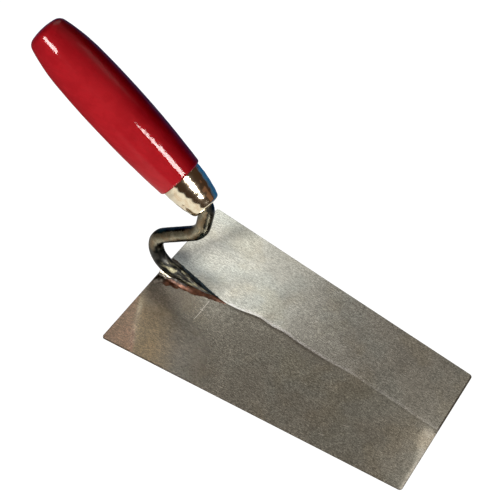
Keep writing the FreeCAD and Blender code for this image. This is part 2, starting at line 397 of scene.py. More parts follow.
def edge_drop(inside):
    """How far the top is rounded down at this distance inside the blade's edge."""
    if inside >= EDGE_ROUNDING:
        return 0.0
    reach = EDGE_ROUNDING - inside
    return EDGE_ROUNDING - math.sqrt(max(0, EDGE_ROUNDING ** 2 - reach ** 2))


def spaced(low, high, step, fine, fine_reach):
    """Values from low to high, closer together near both ends."""
    values = [low]
    while values[-1] < high - 1e-6:
        near = min(values[-1] - low, high - values[-1])
        stride = fine if near < fine_reach else step
        values.append(min(high, values[-1] + stride))
    if values[-1] - values[-2] < fine / 2:
        values.pop(-2)
    return values


def with_rounding(values, high):
    """Add the close steps that round the blade's edges, at both ends of a list of places."""
    step = values[1] / 5
    near = [step, 2 * step, 3 * step]
    far = [high - offset for offset in reversed(near)]
    return values[:1] + near + values[1:-1] + far + values[-1:]


def blade_ring(along, slope_shares):
    """Outline of the blade's section: over the top from -Y to +Y, then back underneath."""
    half = min(half_width(along), BLADE_HIGH.y / MM)
    crest = ridge_aside(along)
    end_drop = edge_drop(min(along, BLADE_LENGTH - along))
    places = [-half + (half + crest) * share for share in slope_shares]
    places += [crest + (half - crest) * share for share in slope_shares[1:]]
    top = []
    for aside in places:
        height = blade_top(along, aside) - max(edge_drop(half - abs(aside)), end_drop)
        top.append((HEEL_X + along, aside, max(LEAST_THICKNESS, height)))
    return top + [(x, y, 0.0) for x, y, _ in reversed(top)]


def make_blade():
    stations = spaced(0, BLADE_LENGTH, step=1.4, fine=0.35, fine_reach=2.8)
    slope_shares = with_rounding(spaced(0, 1, step=0.022, fine=0.006, fine_reach=0.03), 1)
    rings = [blade_ring(along, slope_shares) for along in with_rounding(stations, BLADE_LENGTH)]
    columns = len(rings[0])
    points = [point for ring in rings for point in ring]
    faces = grid_faces(len(rings), columns, close_columns=True)
    for base in (0, (len(rings) - 1) * columns):
        for index in range(columns // 2 - 1):
            faces.append((
                base + index,
                base + index + 1,
                base + columns - 2 - index,
                base + columns - 1 - index,
            ))
    blade = make_object("blade_plate", points, faces)
    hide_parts("blade")
    paint_blade(blade)
    blade.data.materials.append(blade_steel())


# The pale streak across the heel corner, where the handle's reflection is painted, as (aside,
# along), and how far heat browned the blade.
STREAK = ((-65, 21.0), (-62, 19.5), (-45, 10.5), (-27, 2.7), (-22, 0.0))
HEAT_REACH = ((0, 10), (14, 12.5), (26, 10), (38, 5.5), (47, 2), (52, 0))


def from_streak(along, aside, raggedness=0.0):
    """Distance ahead of the streak, with an edge that wanders by this much."""
    return along - along_table(STREAK, aside) + raggedness * rough(along, aside, 4, 9)


def paint_blade(blade):
    """Tints from heat and use, and painted light, shade and reflections, kept at the vertices for
    the material.
    """
    # Painted light: the +Y half of the ground top is painted lighter than the -Y half, as lit and
    # shaded halves of one steel, less so towards the toe.
    def lit_half(along, aside):
        return smooth(aside - ridge_aside(along), -0.3, 0.3) * (1 - 0.5 * smooth(along, 110, 190))

    # Painted highlight: a bright strip along the raised lip beside the ridge, on its +Y side.
    def lip(along, aside):
        away = aside - ridge_aside(along)
        wide = 1.7 + 0.6 * rough(along, 0, 2, 7)
        faded = 1 - 0.65 * smooth(along, 112, 150)
        across = smooth(away, -0.1, 0.3) * (1 - smooth(away, wide * 0.6, wide * 1.5))
        return faded * smooth(along, 40, 52) * across

    # Painted shade: a dark strip just below the ridge on its -Y side.
    def shade_below_lip(along, aside):
        away = aside - ridge_aside(along)
        ends = smooth(along, 44, 56) * (1 - smooth(along, 105, 135))
        return ends * smooth(away, -2.2, -0.4) * (1 - smooth(away, -0.3, 0.1))

    # Painted reflection: the handle's dim red reflection in the heel corner behind the streak,
    # painted as a mauve tint.
    def mauve_reflection(along, aside):
        return smooth(-from_streak(along, aside), -0.4, 1.6) * (1 - smooth(aside, -24, -16))

    # Painted reflection: a pale line along the streak, where the handle's highlight is reflected.
    def straw_reflection(along, aside):
        ahead = from_streak(along, aside)
        line = bump(ahead, 0, 1.1 if ahead < 0 else 2.6)
        return line * (1 - smooth(aside, -34, -24)) * (0.9 + 0.4 * rough(along, aside, 1, 5))

    def gold(along, aside):
        ahead = from_streak(along, aside, raggedness=3)
        band = smooth(ahead, -1, 2) * (1 - smooth(ahead, 12, 34))
        return band * (1 - smooth(aside, -34, -16))

    def film(along, aside):
        ahead = from_streak(along, aside, raggedness=2)
        band = smooth(ahead, -1, 2) * (1 - smooth(ahead, 34, 60))
        return band * (1 - smooth(aside, -36, -18))

    # Heat blue and painted shade: a blue-grey band beside the right weld, partly the neck's
    # reflection.
    def blue(along, aside):
        across = smooth(aside, 0, 2) * (1 - smooth(aside, 11, 21))
        return 0.85 * (1 - smooth(along, 28, 48)) * across

    # Weld smoke and painted shade: a brown patch at the heel beside the foot, where the neck's dark
    # reflection falls.
    def smoke_and_shade(along, aside):
        ragged = 1 + 0.25 * rough(along, aside, 3, 8)
        return ragged * bump(along, 11, 21) * bump(aside, -16, 16)

    def heat(along, aside):
        inside = along_table(HEAT_REACH, along) + 1.2 * rough(along, aside, 5, 4) + aside
        return smooth(inside, 0, 2.2) * (1 - smooth(aside, -1, 1)) * smooth(along, 5, 13)

    # Wear at the toe, lighter than the rest, and a painted highlight: the thin bright line along
    # the very toe edge.
    def worn(along, aside):
        begins = wear_begins(aside)
        toe = smooth(along, begins, begins + 5.0) * (1 - smooth(aside, -5, -0.5))
        toe *= 0.5 + 0.5 * smooth(aside, -40, -6)
        # Painted highlight along the very edge.
        tip = smooth(along, 198.2, 199.0) * smooth(-aside, 6, 9)
        toe += 1.3 * tip * (0.8 + 0.5 * rough(0, aside, 5, 6))
        wide = 0.16 * smooth(along, 164, 196) * (1 - smooth(aside, -12, 0))
        return clamp(toe + wide)

    # Painted shade: a dark line along the blade's edges, wider at the +Y part of the toe.
    def rim(along, aside):
        toe_line = BLADE_LENGTH - along - 0.7 * smooth(aside, -2, 2)
        inside = min(along, toe_line, half_width(along) + aside)
        return 1 - smooth(inside, 0.05, 0.45)

    # Painted shade: a darker band across the heel on the +Y side, where the neck's reflection
    # falls.
    def heel_shade_band(along, aside):
        across = math.exp(-((along - 4 - max(0.0, aside - 12) * 0.42) / 7.5) ** 2)
        return across * smooth(aside, 6, 16) * (0.85 + 0.3 * rough(along, aside, 8, 12))

    # Painted shadow: a dark patch beside the right weld at the heel, where the neck's dark
    # reflection falls.
    def shadow_by_weld(along, aside):
        return bump(along, 1, 11) * bump(aside, 16, 9) * (0.9 + 0.3 * rough(along, aside, 2, 6))

    rules = (
        lit_half, lip, shade_below_lip, mauve_reflection, straw_reflection, gold, film, blue, smoke_and_shade, heat, worn, rim, heel_shade_band, shadow_by_weld,
    )
    for rule in rules:
        paint(blade, rule.__name__, lambda place: clamp(rule(place.x - HEEL_X, place.y)))


# Painted rule, how much of it shows, and its colour; a later one lies over an earlier one.
BLADE_TINTS = (
    # Painted shade at the heel.
    ("heel_shade_band", 0.62, (0.25, 0.25, 0.24)),
    # Heat blue and painted shade of the neck's reflection.
    ("blue", 0.70, (0.16, 0.18, 0.19)),
    # Painted reflection of the handle.
    ("mauve_reflection", 0.85, (0.78, 0.60, 0.44)),
    ("gold", 0.75, (0.68, 0.56, 0.36)),
    # Weld smoke and painted shade.
    ("smoke_and_shade", 0.70, (0.30, 0.245, 0.19)),
    # Painted reflection of the handle's highlight.
    ("straw_reflection", 0.85, (0.95, 0.88, 0.66)),
    ("heat", 0.80, (0.40, 0.13, 0.065)),
    # Toe wear, with the painted highlight along its edge.
    ("worn", 0.85, (0.95, 0.90, 0.78)),
    # Painted shadow beside the right weld.
    ("shadow_by_weld", 0.85, (0.11, 0.115, 0.12)),
    # Painted highlight along the ridge's lip.
    ("lip", 0.95, (1.0, 0.99, 0.95)),
    # Painted shade below the lip.
    ("shade_below_lip", 0.62, (0.18, 0.165, 0.14)),
    # Painted shade along the edges.
    ("rim", 0.92, (0.07, 0.055, 0.04)),
)
# Marks that hide the bare metal, and how much of it: the painted reflections of the handle, the
# smoke and painted shade, and a film.
BLADE_NOT_BARE = (("mauve_reflection", 0.90), ("film", 1.0), ("straw_reflection", 0.85), ("smoke_and_shade", 0.70))
# Painted shaded and lit halves of the same ground steel.
SHADED_HALF_STEEL, LIT_HALF_STEEL = (0.485, 0.475, 0.415), (0.675, 0.68, 0.62)
COOL, WARM = (0.955, 0.985, 1.0), (1.0, 0.975, 0.93)
SPECK = (0.10, 0.09, 0.08)
SCRATCH = (0.95, 0.92, 0.84)
# Ends as (along, aside), and width.
SCRATCHES = (
    ((38.2, -3.9), (38.1, -11.5), 0.35),
    ((38.4, -12.6), (38.1, -21.1), 0.28),
    ((37.4, -12.2), (38.8, -12.0), 0.55),
    ((77.0, 5.0), (79.5, 5.6), 0.5),
    ((120.0, 9.0), (123.0, 9.4), 0.25),
    ((151.0, -31.0), (154.5, -30.2), 0.25),
    ((142.0, -44.5), (145.0, -44.0), 0.22),
)


def blade_steel():
    """Ground satin steel: lengthwise grain, mottling, specks, heat and handling tints, and painted
    light, shade and reflections.
    """
    steel = Paint("blade_steel", Specular_IOR_Level=0.0)
    grain = steel.noise(1.0, 3, 0.6, steel.stretch((420, 1300, 900)))
    fine = steel.noise(1.0, 2, 0.5, steel.stretch((1300, 3200, 1500)))
    mottle = steel.noise(1300, 3, 0.65)
    cloud = steel.noise(48, 3, 0.55, distortion=0.4)
    tone = steel.mix(steel.painted("lit_half"), SHADED_HALF_STEEL, LIT_HALF_STEEL)
    for name, share, colour in BLADE_TINTS:
        tone = steel.mix(steel.times(steel.painted(name), share), tone, colour)
    cool = steel.remap(steel.noise(26, 3, 0.55), 0.45, 0.62)
    warm = steel.remap(steel.noise(34, 3, 0.55), 0.48, 0.64)
    tone = steel.mix(cool, tone, COOL, "MULTIPLY")
    tone = steel.mix(warm, tone, WARM, "MULTIPLY")
    tone = steel.shade(tone, steel.remap(cloud, 0.3, 0.7, 0.90, 1.08))
    tone = steel.shade(tone, steel.remap(grain, 0.3, 0.7, 0.76, 1.24))
    tone = steel.shade(tone, steel.remap(mottle, 0.3, 0.7, 0.72, 1.28))
    specks = steel.remap(steel.cells(95), 0.02, 0.05, 0.7, 0.0)
    tone = steel.mix(specks, tone, SPECK)
    for start, end, width in SCRATCHES:
        tone = steel.mix(steel.scratch(start, end, width), tone, SCRATCH)
    roughness = steel.remap(mottle, 0.25, 0.75, 0.17, 0.27)
    for name, share in (("worn", 0.14), ("rim", 0.25)):
        roughness = steel.plus(roughness, steel.times(steel.painted(name), share))
    height = steel.plus(steel.times(grain, 0.6), steel.times(fine, 0.3))
    height = steel.plus(height, steel.times(mottle, 0.5))
    # The painted reflections and shade at the heel corner are made dull, not bare metal.
    not_bare = 0.0
    for name, share in BLADE_NOT_BARE:
        not_bare = steel.maths("MAXIMUM", not_bare, steel.times(steel.painted(name), share))
    steel.put(steel.shader.inputs["Metallic"], steel.maths("SUBTRACT", 1.0, not_bare))
    return steel.finish(tone, roughness, steel.relief(height, 0.00002, 0.4))


# Neck

FOOT_ALONG = 10.0
FOOT_HEIGHT = 6.7
BENDS = ((24.0, 56.1), (-34.0, FOOT_HEIGHT))
BEND_RADII = (8, 18, 16)
LENGTH_IN_FERRULE = 6.0
LENGTH_BEFORE_BEND = 1.0
RIB_SEAT = 2.0
RIB_END = 46.0
# The foot draws out into a thin rib, as (along, radius).
RIB_RADIUS = (
    (10, 4.75), (12, 4.2), (14, 3.7), (19, 2.85), (23, 2.1), (30, 1.2), (38, 0.6), (46, 0.3),
)
# Side of the bar that is painted lighter, as a painted sheen.
SHEEN_SIDE = Vector((-0.10, -0.93, 0.35)).normalized()


def bent_line(corners, radii, step):
    """Points along straight runs joined by bends, corners as (along, height)."""
    corners = vectors(*corners)
    points = [corners[0]]
    for before, corner, after, radius in zip(corners, corners[1:], corners[2:], radii):
        centre, arm, turn = fillet(before, corner, after, radius)
        points += straight_steps(points[-1], centre + arm, step)
        steps = max(4, round(abs(turn) * radius / step))
        points += swept(centre, arm, turn, steps)[1:]
    points += straight_steps(points[-1], corners[-1], step)
    return points


def straight_steps(start, end, step):
    """Points on the way from start, which is left out, to end."""
    count = max(1, round((end - start).length / step))
    return [start.lerp(end, k / count) for k in range(1, count + 1)]


def neck_line(step=0.8, rib_step=0.6):
    """Centre line from inside the ferrule to the foot's tip, with a radius at each point."""
    corners = (
        (NOSE_ALONG + LENGTH_IN_FERRULE * AXIS.x, NOSE_HEIGHT + LENGTH_IN_FERRULE * AXIS.z),
        (NOSE_ALONG - LENGTH_BEFORE_BEND * AXIS.x, NOSE_HEIGHT - LENGTH_BEFORE_BEND * AXIS.z),
        *BENDS,
        (FOOT_ALONG, FOOT_HEIGHT),
    )
    line = [(point, BAR_RADIUS) for point in bent_line(corners, BEND_RADII, step)]
    along = FOOT_ALONG
    while along < RIB_END:
        along += rib_step
        radius = along_table(RIB_RADIUS, along)
        line.append((Vector((along, RIB_SEAT + radius)), radius))
    return line


def make_neck(segments=56):
    line = neck_line()
    rings = []
    travelled = 0.0
    for index, (point, radius) in enumerate(line):
        before = line[max(0, index - 1)][0]
        after = line[min(len(line) - 1, index + 1)][0]
        tangent = (after - before).normalized()
        travelled += (point - before).length
        side = Vector((-tangent.y, tangent.x))
        foot = smooth(point.x, 4, 20) if index > len(line) / 2 else 0.0
        middle = Vector((HEEL_X + point.x, ridge_aside(point.x) * smooth(point.x, 20, 46), point.y))
        outward = Vector((side.x, 0, side.y))
        ring = []
        for segment in range(segments):
            angle = 2 * math.pi * segment / segments
            reach = radius * bar_shape(angle, travelled, foot)
            spoke = outward * math.sin(angle) * (1 + 0.08 * foot) + ACROSS * math.cos(angle)
            ring.append(middle + spoke * reach)
        rings.append(ring)
    points = [point for ring in rings for point in ring]
    faces = grid_faces(len(rings), segments, close_columns=True)
    faces.append(tuple(range(segments)))
    faces.append(tuple(reversed(range(len(points) - segments, len(points)))))
    neck = make_object("neck_forging", points, faces)
    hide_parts("neck")
    # Soot and painted shade: the bar is painted darker towards the bottom, below about 19 to 29 mm.
    paint(neck, "soot_and_shade", lambda place: 1 - smooth(place.z + 2.5 * rough(*place, 5), 19, 29))
    paint(neck, "foot", on_foot)
    # Painted sheen: the bar is painted lighter where its surface faces one side, as the floor's
    # reflection, and dark scale elsewhere.
    painted_sheen = neck.data.attributes.new("painted_sheen", "FLOAT", "POINT")
    for vertex, item in zip(neck.data.vertices, painted_sheen.data):
        item.value = smooth(vertex.normal.dot(SHEEN_SIDE), 0.58, 0.93)
    neck.data.materials.append(forged_steel())


def on_foot(place):
    """1 on the part of the bar that lies on the blade."""
    return smooth(place.x - HEEL_X, -2, 6) * (1 - smooth(place.z, 11, 15))


def bar_shape(angle, travelled, foot):
    """Share of the bar's radius: hammered flats and dents, and flutes along the foot."""
    lumps = 0.022 * around(2, angle, travelled / 4.5)
    dents = 0.010 * around(5, angle, travelled / 2.2)
    flutes = foot * 0.045 * math.cos(9 * angle + 0.4)
    crest = foot * 0.10 * bump(math.sin(angle), 1.0, 0.25)
    return 1 + lumps + dents + flutes + crest


# Dark scale on the bar's shaded sides, and a painted sheen on its lit side.
SHADED_SCALE_DARK, SHADED_SCALE_PALE = (0.030, 0.030, 0.028), (0.085, 0.080, 0.062)
TEAL_REFLECTION = (0.06, 0.125, 0.14)
SHEEN_DARK, SHEEN_PALE = (0.24, 0.22, 0.155), (0.50, 0.47, 0.35)
SHEEN_BROWN = (0.30, 0.20, 0.115)
SOOT_SHADE_DARK, SOOT_SHADE_PALE = (0.022, 0.023, 0.022), (0.085, 0.085, 0.078)
SOOT_STREAK = (0.23, 0.22, 0.15)
PIT = (0.05, 0.045, 0.04)


def forged_steel():
    """Dark forged bar: scale, fine pits and faint brown heat colours, teal patches as a painted
    reflection and a painted sheen on one side; soot and painted shade at the foot.
    """
    steel = Paint("forged_steel", Metallic=1.0)
    cloud = steel.noise(130, 4, 0.6, distortion=0.5)
    fine = steel.noise(900, 4, 0.65)
    scale = steel.mix(steel.remap(cloud, 0.35, 0.65), SHADED_SCALE_DARK, SHADED_SCALE_PALE)
    # Painted reflection: teal patches on the dark scale stand for the blue light reflected in the
    # bar.
    teal_reflection = steel.remap(steel.noise(70, 2, 0.5), 0.45, 0.62, 0.0, 0.7)
    scale = steel.mix(teal_reflection, scale, TEAL_REFLECTION)
    bright = steel.mix(steel.remap(cloud, 0.35, 0.65), SHEEN_DARK, SHEEN_PALE)
    brown = steel.remap(steel.noise(95, 3, 0.6), 0.50, 0.62, 0.0, 0.65)
    bright = steel.mix(brown, bright, SHEEN_BROWN)
    # Painted sheen by the surface's direction, roughened by noise.
    sheen = steel.plus(steel.painted("painted_sheen"), steel.remap(cloud, 0.3, 0.7, -0.30, 0.30))
    sheen = steel.plus(sheen, steel.remap(fine, 0.35, 0.65, -0.16, 0.16))
    tone = steel.mix(steel.remap(sheen, 0.25, 0.75), scale, bright)
    streaks = steel.remap(steel.noise(1.0, 2, 0.5, steel.stretch((90, 620, 620))), 0.50, 0.62)
    streaks = steel.times(streaks, steel.painted("foot"))
    # Soot and painted shade at the foot, with lighter streaks along it.
    sooty_shade = steel.mix(steel.remap(cloud, 0.4, 0.65), SOOT_SHADE_DARK, SOOT_SHADE_PALE)
    sooty_shade = steel.mix(streaks, sooty_shade, SOOT_STREAK)
    tone = steel.mix(steel.painted("soot_and_shade"), tone, sooty_shade)
    tone = steel.mix(steel.remap(fine, 0.5, 0.75, 0.0, 0.6), tone, PIT)
    roughness = steel.remap(fine, 0.3, 0.7, 0.28, 0.46)
    roughness = steel.plus(roughness, steel.times(steel.painted("soot_and_shade"), 0.16))
    height = steel.plus(steel.times(fine, 0.5), cloud)
    return steel.finish(tone, roughness, steel.relief(height, 0.00025, 0.5))


# Welds

WELD_STEP = 0.45
WELD_UNDERSIDE = 0.9
WELD_THINNEST = 0.15
# Beads of the left weld as (along, aside, radius, height).
BEADS = (
    (1.9, -9.2, 2.3, 1.5), (4.4, -7.7, 1.9, 1.3), (8.6, -7.0, 2.4, 0.9), (13.6, -5.2, 2.6, 0.7),
    (18.0, -4.0, 2.1, 0.6), (23.4, -2.6, 2.4, 0.5), (29.0, -1.4, 1.9, 0.4),
)
# How far the long welds reach aside and how high the right one stands, as (along, value).
LEFT_REACH = ((0, 9.5), (18, 8.6), (29, 6.4), (37, 4.2), (44, 1.6), (48, 0))
RIGHT_REACH = ((0, 12.6), (9, 10.8), (17, 8.8), (25, 7.0), (34, 4.3), (42, 2.5), (47, 0.9))
RIGHT_HEIGHT = ((0, 4.2), (10, 4.2), (20, 2.9), (30, 1.6), (40, 0.6), (47, 0.1))


def mound(name, node, along_range, aside_range, height_at):
    """Closed patch of weld metal: height_at(along, aside) above the blade, flat beneath."""
    alongs = spaced(*along_range, step=WELD_STEP, fine=WELD_STEP, fine_reach=0)
    asides = spaced(*aside_range, step=WELD_STEP, fine=WELD_STEP, fine_reach=0)
    lowest = WELD_UNDERSIDE + WELD_THINNEST
    top = []
    for along in alongs:
        for aside in asides:
            level = max(lowest, blade_top(along, aside) + height_at(along, aside))
            top.append((HEEL_X + along, aside, level))
    count = len(top)
    under = [(x, y, WELD_UNDERSIDE) for x, y, _ in top]
    rows, columns = len(alongs), len(asides)
    faces = grid_faces(rows, columns)
    faces += [tuple(reversed(face)) for face in grid_faces(rows, columns, start=count)]
    rim = list(range(columns))
    rim += [row * columns + columns - 1 for row in range(1, rows)]
    rim += [(rows - 1) * columns + column for column in range(columns - 2, -1, -1)]
    rim += [row * columns for row in range(rows - 2, 0, -1)]
    for here, ahead in zip(rim, rim[1:] + rim[:1]):
        faces.append((here, here + count, ahead + count, ahead))
    weld = make_object(name, top + under, faces)
    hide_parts(node)
    return weld


def past_foot(along):
    """How far the long welds sink into the blade past the foot's tip."""
    return 0.6 * smooth(along, 44, 48)


def left_height(along, aside):
    """Run of overlapping beads along the foot, over a thin fan of flux-stained metal."""
    share = clamp(1 + aside / max(along_table(LEFT_REACH, along), 0.1))
    fan = 0.9 * share ** 2 - 0.12
    fan += 0.10 * rough(along, aside, 2, 2.5)
    beads = max(tall * bump(along, at, radius) * bump(aside, to, radius)
                for at, to, radius, tall in BEADS)
    beads *= 1 + 0.15 * rough(along, aside, 7, 1.2)
    flank = 3.2 * (1 - smooth(along, 3, 34)) * smooth(-abs(aside), -6.5, -3.0)
    return flank + fan + beads - past_foot(along)


def right_height(along, aside):
    """Concave fillet from the foot's flank down to the blade."""
    share = clamp(1 - (aside - 0.5) / max(along_table(RIGHT_REACH, along), 0.1))
    slope = along_table(RIGHT_HEIGHT, along) * share ** 1.9 - 0.10
    ripple = 0.07 * math.sin(along * 2.2 + 0.5 * aside) * share
    return slope + ripple + 0.05 * rough(along, aside, 4, 2.0) - past_foot(along)


def heel_height(along, aside):
    """Bead that fills the gap under the bar at the heel edge."""
    across = bump(aside, 0.3, 5.0)
    return 2.6 * across * bump(along, 3.4, 2.3) - 0.35 + 0.15 * rough(along, aside, 6, 1.8)


def make_welds():
    """The three welds, each with its thin, middle and raised colours."""
    black, grey = (0.028, 0.026, 0.024), (0.05, 0.055, 0.055)
    rust, blue = (0.140, 0.054, 0.026), (0.065, 0.115, 0.150)
    welds = (
        (mound("weld_bead_left", "weld_left", (0.6, 47.5), (-12.5, 0.9), left_height),
         weld_metal("weld_left_metal", rust, black, (0.62, 0.57, 0.46))),
        # The right weld's blue and near-black: heat tint, and painted shade in the fillet on the
        # foot's shaded side.
        (mound("weld_bead_right", "weld_right", (0.8, 47.5), (0.5, 13.5), right_height),
         weld_metal("weld_right_metal", blue, (0.020, 0.036, 0.048), (0.06, 0.10, 0.125))),
        (mound("weld_bead_heel", "weld_heel", (0.25, 6.5), (-8, 8), heel_height),
         weld_metal("weld_heel_metal", grey, black, (0.50, 0.47, 0.38))),
    )
    for weld, look in welds:
        paint(weld, "height", weld_relief)
        paint(weld, "heel_end", near_heel)
        weld.data.materials.append(look)


def near_heel(place):
    """1 at the heel edge, with a ragged end."""
    return 1 - smooth(place.x - HEEL_X + rough(*place, 3), 5, 10)


def weld_relief(place):
    """0 where the weld meets the blade, 1 on the beads' tops."""
    along = place.x - HEEL_X
    above = place.z - blade_top(along, place.y)
    return smooth(above, 0.4, 2.6) * (1 - 0.55 * smooth(along, 5, 13))


def weld_metal(name, low, middle, high):
    """Weld metal: stained where it is thin, sooty above, and bright where the beads stand up."""
    metal = Paint(name)
    low = metal.mix(metal.painted("heel_end"), low, (0.105, 0.09, 0.07))
    low = metal.shade(low, metal.remap(metal.noise(260, 4, 0.7), 0.35, 0.65, 0.55, 1.35))
    lumps = metal.noise(420, 3, 0.6)
    fine = metal.noise(1600, 3, 0.6)
    ragged = metal.plus(metal.painted("height"), metal.remap(lumps, 0.3, 0.7, -0.14, 0.14))
    tone = metal.mix(metal.remap(ragged, 0.16, 0.34), low, middle)
    tone = metal.mix(metal.remap(ragged, 0.55, 0.78), tone, high)
    tone = metal.mix(metal.remap(fine, 0.5, 0.7, 0.0, 0.5), tone, PIT)
    metal.put(metal.shader.inputs["Metallic"], metal.remap(ragged, 0.15, 0.5, 0.4, 1.0))
    roughness = metal.remap(lumps, 0.3, 0.7, 0.30, 0.55)
    height = metal.plus(lumps, metal.times(fine, 0.4))
    return metal.finish(tone, roughness, metal.relief(height, 0.0003, 0.5))


# Ferrule

FERRULE_NOSE = 9.2
FERRULE_MOUTH = 13.1
FERRULE_SWELL = 71.0
FERRULE_WALL = 0.9
NOSE_ROUNDING = 2.2
HOLE_RADIUS = 5.5
HOLE_OFFSET = 0.9
HOLE_LAND = 6.4


def ferrule_profile():
    """Closed outline of the cup's wall: out from the hole, up the side, and back down inside."""
    wall, length = FERRULE_WALL, FERRULE_LENGTH
    side = arc_points((FERRULE_NOSE, 0), (FERRULE_MOUTH, length), FERRULE_SWELL, 40)
    nose = round_corner((0, 0), (FERRULE_NOSE, 0), side[4], NOSE_ROUNDING, 10)
    outside = vectors((HOLE_RADIUS + 0.25, 0.0), (HOLE_LAND, 0.0)) + nose
    outside += [point for point in side[:-1] if point.y > nose[-1].y + 0.3]
    mouth = vectors(
        (FERRULE_MOUTH, length - 0.12), (FERRULE_MOUTH, length),
        (FERRULE_MOUTH - 0.25, length), (FERRULE_MOUTH - wall, length),
    )
    inside = [Vector((point.x - wall, point.y)) for point in reversed(side) if point.y > 2.4]
    inside += vectors(
        (FERRULE_NOSE - wall, wall + 0.6), (FERRULE_NOSE - wall - 0.8, wall),
        (HOLE_LAND, wall), (HOLE_RADIUS + 0.1, wall), (HOLE_RADIUS, wall / 2),
    )
    return outside + mouth + inside


def make_ferrule(segments=120):
    profile = ferrule_profile()

    def shape(angle, height, radius):
        """Drawn brass, slightly rippled and dented."""
        waves = 0.050 * math.sin(height * 1.22 + 1.5 * math.sin(angle + 0.6))
        ripple = waves + 0.08 * around(1.8, angle, height / 3.6)
        dent = 0.04 * around(4.5, angle, 7 + height / 2.4)
        return radius + (ripple + dent) * smooth(height, 0.5, 3.5) * (1 - smooth(height, 20, 22))

    def nudge(height, radius):
        """The hole sits off the axis, where the bent bar passes through."""
        return -HOLE_OFFSET * (1 - smooth(radius, 5.8, 8.2)) if height <= FERRULE_WALL else 0.0

    points = lathe(profile, segments, shape, nudge)
    faces = grid_faces(len(profile), segments, close_rows=True, close_columns=True)
    ferrule = make_object("ferrule_cup", points, faces)
    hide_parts("ferrule")
    ferrule.data.materials.append(polished_brass())


BRASS, TARNISH = (0.90, 0.81, 0.62), (0.62, 0.38, 0.20)


def polished_brass():
    """Polished brass with buffing marks, small dents and a little tarnish."""
    brass = Paint("polished_brass", Metallic=1.0)
    tarnish = brass.noise(160, 4, 0.6, distortion=0.6)
    buff = brass.noise(1.0, 2, 0.5, brass.stretch((600, 2600, 600)))
    tone = brass.mix(brass.remap(tarnish, 0.45, 0.7, 0.0, 0.45), BRASS, TARNISH)
    roughness = brass.remap(tarnish, 0.35, 0.75, 0.10, 0.17)
    height = brass.plus(brass.noise(330, 2, 0.5), brass.times(buff, 0.12))
    return brass.finish(tone, roughness, brass.relief(height, 0.00006, 0.12))


# Handle

SHOULDER = 14.6
BELLY_AT, BELLY = 80.0, 17.25
TAPER_AT, TAPER = 107.5, 16.6
BUTT_AT, BUTT = 135.7, 11.9
HANDLE_END = 137.65
BACK_SWELL = 121.5
SHOULDER_ROUNDING = 1.7
BUTT_ROUNDING = 5.6
SPIGOT_GAP = 0.1
SPIGOT_BORE = 6.2
LACQUER_SINK = 0.06


def swell(height, bulge):
    """Radius of an arc that rises by bulge over height and ends parallel to height."""
    return (height ** 2 + bulge ** 2) / (2 * bulge)


def handle_profile():
    """Outline from the spigot in the ferrule, over the shoulder and the belly, to the butt."""
    rise = swell(BELLY_AT - FERRULE_LENGTH, BELLY - SHOULDER)
    fall = swell(TAPER_AT - BELLY_AT, BELLY - TAPER)
    dome = swell(BUTT, HANDLE_END - BUTT_AT)
    barrel = arc_points((SHOULDER, FERRULE_LENGTH), (BELLY, BELLY_AT), rise, 46)
    barrel += arc_points((BELLY, BELLY_AT), (TAPER, TAPER_AT), fall, 22)[1:]
    barrel += arc_points((TAPER, TAPER_AT), (BUTT, BUTT_AT), BACK_SWELL, 40)[1:]
    end = arc_points((BUTT, BUTT_AT), (0.0, HANDLE_END), dome, 16)
    corner = (SHOULDER, FERRULE_LENGTH)
    shoulder = round_corner((0, FERRULE_LENGTH), corner, barrel[3], SHOULDER_ROUNDING, 10)
    butt = round_corner(barrel[-8], (BUTT, BUTT_AT), end[5], BUTT_ROUNDING, 16)
    inset = FERRULE_WALL + SPIGOT_GAP
    spigot = arc_points((FERRULE_NOSE - inset, inset),
                        (FERRULE_MOUTH - inset, FERRULE_LENGTH), FERRULE_SWELL, 12)
    profile = vectors((SPIGOT_BORE, inset)) + spigot[:-1]
    profile += vectors((12.3, FERRULE_LENGTH + 0.02)) + shoulder
    profile += [point for point in barrel if shoulder[-1].y + 0.4 < point.y < butt[0].y - 0.4]
    profile += butt
    profile += [point for point in end if 0.4 < point.x < butt[-1].x - 0.4]
    return profile


def make_handle(segments=144):
    profile = handle_profile()

    def shape(angle, height, radius):
        """Turned wood under lacquer: faint lathe rings and sags."""
        rings = 0.018 * math.sin(height * 1.9) * rough(height / 9, 0, 1, 1.0)
        sag = 0.055 * around(1.3, angle, height / 15)
        ripple = 0.050 * around(3.0, angle, height / 4.0)
        return radius - LACQUER_SINK + (rings + sag + ripple) * smooth(radius, 3, 9)

    points = lathe(profile, segments, shape)
    faces = grid_faces(len(profile), segments, close_columns=True)
    faces.append(tuple(range(segments)))
    tip = len(points)
    points.append(NOSE + AXIS * (HANDLE_END - 0.02))
    last = tip - segments
    for segment in range(segments):
        faces.append((last + segment, last + (segment + 1) % segments, tip))
    handle = make_object("handle_grip", points, faces)
    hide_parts("handle")
    handle.data.materials.append(red_lacquer())


RED, RED_GRAIN, RED_CLOUD = (0.50, 0.017, 0.026), (0.43, 0.016, 0.024), (0.54, 0.022, 0.030)
RED_BLOTCH, RED_PORE = (0.40, 0.013, 0.020), (0.12, 0.004, 0.004)


